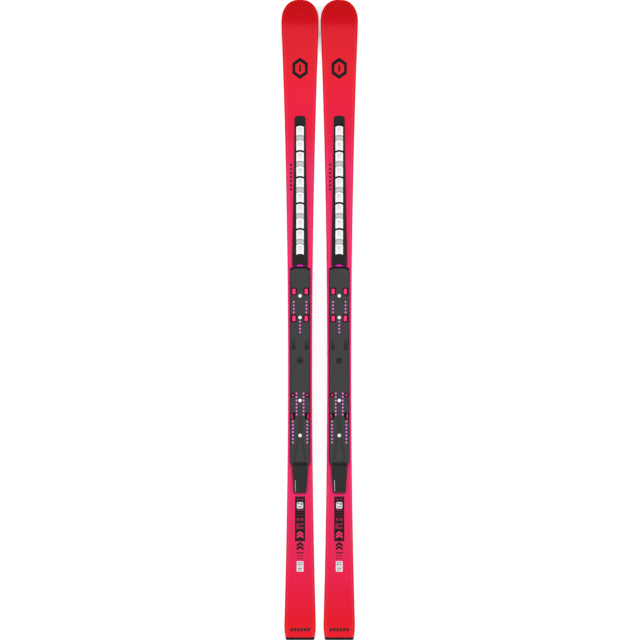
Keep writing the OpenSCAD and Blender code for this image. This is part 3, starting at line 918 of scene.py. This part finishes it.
def section_finish():
    """Satin-anodised aluminium, grey in the lowered band and darker along its borders, with painted shade on
    the ends of each section at the gaps.
    """
    silver = Finish("satin_damper_metal", Metallic=0.0, Specular_IOR_Level=0.5)
    where, (x, y, _) = silver.place()
    across = off_centre(x)
    bow = (across * across) / (2 * end_radius * MM)
    turn = ((y + bow - section_front * MM) / (pitch * MM) + 30.0).fraction()
    from_middle = ((turn - 0.5) * pitch - band_shift).size()
    line_w, gap_shade_w, panel_end = 2.8, 0.45, pitch / 2 - 7.5
    # Painted shade: the ends of each section next to a gap are near black, widening the dark gaps between
    # sections.
    gap_shade = ((turn - 0.5) * pitch).size() > (pitch - section_gap) / 2 - gap_shade_w
    band = 1 - (from_middle > band_half)
    line = (from_middle > band_half - line_w) * band
    panel_length = (from_middle > band_half + panel_from_band) * (1 - (from_middle > panel_end))
    panels = panel_length * (1 - (across > panel_half_w * MM))
    strokes = silver.noise(silver.stretched(where, 900, 20, 900), 1.0, 4)
    pale, grey = shade(colour(252, 252, 252)), shade(colour(200, 200, 201))
    dark, inset = shade(colour(160, 160, 162)), shade(colour(234, 234, 235))
    tone = silver.mixed(panels, pale, inset)
    tone = silver.mixed(band, tone, grey)
    tone = silver.mixed(gap_shade, tone, (0.01, 0.01, 0.01, 1))
    silver.feed(
        Base_Color=silver.mixed(line, tone, dark),
        Roughness=0.26 + strokes * 0.2,
        Normal=silver.bump(strokes, 0.15, 0.03 * MM),
    )
    return silver


def bed_plastic():
    """Moulded bed, with painted shade blackening its pockets and along their rims."""
    shine = 0.12
    bed = Finish("damper_bed_plastic", Roughness=0.5, Specular_IOR_Level=shine)
    where, (x, y, _) = bed.place()
    across = off_centre(x)
    last_pocket = section_front - section_count * pitch
    behind_nose = (((section_front + 3) * MM - y) / (2 * MM)).clipped()
    before_rear = ((y - (last_pocket - 2) * MM) / (2 * MM)).clipped()
    beside = 1 - ((across - section_w / 2 * MM) / (2.4 * MM)).clipped()
    # Painted shade: in and beside the sections' pockets the bed is near black, as shade between the sections.
    pocket = beside * behind_nose * before_rear
    grain = bed.noise(where, 1100, 3)
    cloud = bed.noise(where, 35, 4)
    light, gloss = colour(43, 43, 43), GLOSS_OF_SHINE * shine
    face = bed.mixed(cloud, shade(light, 0.92, gloss), shade(light, 1.08, gloss))
    return bed.feed(
        Base_Color=bed.mixed(pocket, face, (0.002, 0.002, 0.002, 1)),
        Roughness=0.42 + cloud * 0.16,
        Normal=bed.bump(grain, 0.3, 0.14 * MM),
    )


bed_finish = bed_plastic()
damper_finish = section_finish()
for ski in SKIS:
    softened(dress(f"{ski}_damper_bed", bed_finish), 0.25)
    for k in range(1, section_count + 1):
        fit(pressed_plate(k, ski), damper_finish, f"{ski}_section_{k}", "damper_metal",
            f"{ski}_damper_section_{k}")

# ---- Interface plate and its underlay ----
# The binding slides onto a long moulding of dark glass-filled nylon, which is held to an underlay on
# the deck by screws down its middle, so that the ski can bend under it. Rows of holes take the toe
# and heel of a binding. The underlay ends in a tongue behind the plate.

plate_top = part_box("left_ski_interface_plate")[1].z / MM
plate_rim = (26.6, 140.5)
screw_low, screw_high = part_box("left_ski_centre_screw")
rear_cap_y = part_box("left_ski_screw_caps")[0].y / MM + 5
# The plate gets painted shade down its sides, on its nose past plate_rim, in the centre screw's seat and
# round the rear cap.
shaded_seats = (((screw_low.y + screw_high.y) / 2 / MM, 8.6), (rear_cap_y, 7.0))
plate_finish = moulded_finish(
    "glass_filled_nylon", colour(68, 68, 68), 0.5, 700, 0.35, 0.12,
    top=plate_top, rim=plate_rim, seats=shaded_seats,
)
underlay_finish = moulded_finish("underlay_nylon", colour(50, 50, 50), 0.55, 900, 0.3)
tongue_top = deck_z + 5.0
tongue_marks = [bar(-13.8 + 0.22 * i, -460.4 - 4.6 * i, 1.3, 3.3) for i in range(7)]


def tongue_print(ski):
    """Pale moulding dashes along the left edge of the tongue."""
    mesh = bmesh.new()
    for shape in tongue_marks:
        low = [mesh.verts.new(Vector((x, y, tongue_top - 0.1)) * MM) for x, y in shape]
        top = [mesh.verts.new(Vector((x, y, tongue_top + 0.04)) * MM) for x, y in shape]
        mesh.faces.new(top)
        mesh.faces.new(low[::-1])
        for i in range(4):
            j = (i + 1) % 4
            mesh.faces.new((low[i], low[j], top[j], top[i]))
    return placed(finished(mesh, f"{ski}_tongue_dashes"), ski)


for ski in SKIS:
    softened(dress(f"{ski}_interface_plate", plate_finish), 0.35)
    softened(dress(f"{ski}_underlay", underlay_finish), 0.4)
    fit(tongue_print(ski), white_ink, ski, "plate_moulding")

# ---- Elastomers in the plate ----
# A magenta rubber bumper fills the plate's nose and cushions it against the underlay. Violet nylon
# screw strips sit under the rows of holes, and pink rubber blocks fill the windows and bushings.


def rubber_finish(name, light, rough=0.5, painted_glow=0.0, bright_half=None, lip=None):
    """Neon-coloured elastomer with a painted glow. Within bright_half of the centre line and along lip, if
    given, it keeps its colour; elsewhere painted shade makes it dark red.
    """
    rubber = Finish(name, Roughness=rough, Specular_IOR_Level=0.25, Emission_Strength=painted_glow)
    where, (x, y, _) = rubber.place()
    bloom = rubber.noise(where, 90, 4)
    skin = rubber.noise(where, 1800, 2)
    tone = rubber.mixed(bloom, shade(light, 0.94), shade(light, 1.04))
    if bright_half:
        across = off_centre(x)
        fading = 4 * MM
        aside = ((across - bright_half * MM) / fading).clipped()
        off_lip = (y - (lip[0] + lip[1]) / 2 * MM).size() > (lip[1] - lip[0]) / 2 * MM
        # Painted shade: off the centre and off the lip the bumper goes dark red, where the plate's nose
        # shades it.
        tone = rubber.mixed((aside + off_lip).clipped(), tone, (0.10, 0.001, 0.03, 1))
    if painted_glow:
        rubber.feed(Emission_Color=tone)
    rubber.feed(
        Base_Color=tone,
        Roughness=rough - 0.05 + bloom * 0.14,
        Normal=rubber.bump(skin, 0.15, 0.03 * MM),
    )
    return rubber


lip_rear = 154.0
# All three rubbers get a painted glow, the violet strips most, to brighten them down in their holes.
magenta = rubber_finish(
    "magenta_bumper_rubber", colour(255, 20, 200), painted_glow=0.15, bright_half=6.5, lip=(lip_rear, lip_rear + 3.6)
)
violet = rubber_finish("violet_screw_strip", colour(250, 134, 245), 0.4, painted_glow=0.9)
pink = rubber_finish("pink_damper_rubber", colour(255, 50, 125), painted_glow=0.1)
for ski in SKIS:
    softened(dress(f"{ski}_nose_bumper", magenta), 0.5)
    for row in ("toe_inserts", "centre_insert", "heel_inner_inserts", "heel_outer_inserts"):
        softened(dress(f"{ski}_{row}", violet), 0.2)
    softened(dress(f"{ski}_damper_blocks", pink), 0.3)

# ---- Bushings, screws and caps ----
# Black plastic sleeves hold the rubber cores near the heel. Four steel screws hold the plate and are
# hidden by press-in white caps, and a black screw with a hexagon socket clamps the middle.

sleeve_finish = moulded_finish("black_sleeve_plastic", colour(6, 6, 7), 0.6, 1200, shine=0.04)
screw_finish = steel_finish("zinc_plated_screw", False, 0.7)
cap_finish = moulded_finish("white_cap_plastic", colour(250, 250, 250), 0.35, 1500, 0.1, mottle=0.03)


def oxide_finish():
    """Blackened steel, rubbed to metal on the head and left black down in the hexagon socket."""
    oxide = Finish("black_oxide_screw", Metallic=0.9, Roughness=0.25, Base_Color=(0.05, 0.05, 0.052, 1))
    where, (_, _, z) = oxide.place()
    wear = oxide.noise(where, 220, 5)
    socket = (((plate_top - 1.4) * MM - z) / (0.5 * MM)).clipped()
    head = oxide.mixed(wear, (0.07, 0.07, 0.072, 1), (0.2, 0.2, 0.205, 1))
    oxide.feed(
        Base_Color=oxide.mixed(socket, head, (0.003, 0.003, 0.003, 1)),
        Roughness=0.16 + wear * 0.2 + socket * 0.4,
        Normal=oxide.bump(wear, 0.15, 0.04 * MM),
    )
    return oxide


centre_finish = oxide_finish()
for ski in SKIS:
    softened(dress(f"{ski}_heel_bushings", sleeve_finish), 0.25)
    softened(dress(f"{ski}_plate_screws", screw_finish), 0.3)
    softened(dress(f"{ski}_centre_screw", centre_finish), 0.6)
    softened(dress(f"{ski}_screw_caps", cap_finish), 0.35)

# ---- Floor, lights and camera ----
# The pair lies on a pale paper floor, seen from straight above through a long lens, under two soft
# lamps beside it and one beyond the tips.


def floor_finish():
    paper = Finish("pale_studio_paper", Roughness=0.9, Specular_IOR_Level=0.1, Emission_Strength=0.25,
                   Emission_Color=(1, 1, 1, 1))
    where, _ = paper.place()
    fibre = paper.noise(where, 900, 3)
    paper.feed(Base_Color=paper.mixed(fibre, (0.80, 0.80, 0.80, 1), (0.83, 0.83, 0.83, 1)))
    return paper


floor_gap = 0.6 * MM
floor_mesh = bmesh.new()
bmesh.ops.create_grid(floor_mesh, x_segments=4, y_segments=4, size=9)
floor = finished(floor_mesh, "studio_floor")
floor.location.z = -floor_gap
floor.data.materials.append(floor_finish().material)
floor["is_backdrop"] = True


def lamp(name, azimuth, elevation, strength, spread):
    """A soft distant lamp that shines from the given direction, in degrees."""
    light = bpy.data.lights.new(name, "SUN")
    light.energy = strength
    light.angle = math.radians(spread)
    lit = bpy.data.objects.new(name, light)
    a, e = math.radians(azimuth), math.radians(elevation)
    towards = Vector((math.sin(a) * math.cos(e), math.cos(a) * math.cos(e), math.sin(e)))
    lit.rotation_mode = "QUATERNION"
    lit.rotation_quaternion = towards.to_track_quat("Z", "Y")
    bpy.context.scene.collection.objects.link(lit)


lamp("lamp_beyond_tips", 0, 42, 2.1, 28)
lamp("lamp_left", -85, 44, 1.05, 60)
lamp("lamp_right", 85, 44, 1.05, 60)

world = bpy.data.worlds.new("studio_air")
world.use_nodes = True
bpy.context.scene.world = world
sky = world.node_tree
direction = sky.nodes.new("ShaderNodeTexCoord")
upward = sky.nodes.new("ShaderNodeSeparateXYZ")
dimmer = sky.nodes.new("ShaderNodeValToRGB")
dimmer.color_ramp.elements[0].position, dimmer.color_ramp.elements[0].color = 0.05, (0.86, 0.86, 0.86, 1)
dimmer.color_ramp.elements[1].position, dimmer.color_ramp.elements[1].color = 0.8, (0.16, 0.16, 0.16, 1)
sky.links.new(direction.outputs["Generated"], upward.inputs["Vector"])
sky.links.new(upward.outputs["Z"], dimmer.inputs["Fac"])
sky.links.new(dimmer.outputs["Color"], sky.nodes["Background"].inputs["Color"])

lens, sensor = 500.0, 36.0
low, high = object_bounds()
length = high.y - low.y
mid_height = deck_z * MM
aside = 1 * MM
distance = length / 2 * lens / (sensor / 2)
view_camera = bpy.data.cameras.new("long_lens")
view_camera.lens = lens
view_camera.sensor_width = sensor
view_camera.clip_end = 60
camera = bpy.data.objects.new("camera_overhead", view_camera)
camera.location = (aside, (low.y + high.y) / 2, mid_height + distance)
bpy.context.scene.collection.objects.link(camera)
bpy.context.scene.camera = camera
bpy.context.scene.view_settings.view_transform = "Standard"

bpy.context.view_layer.update()
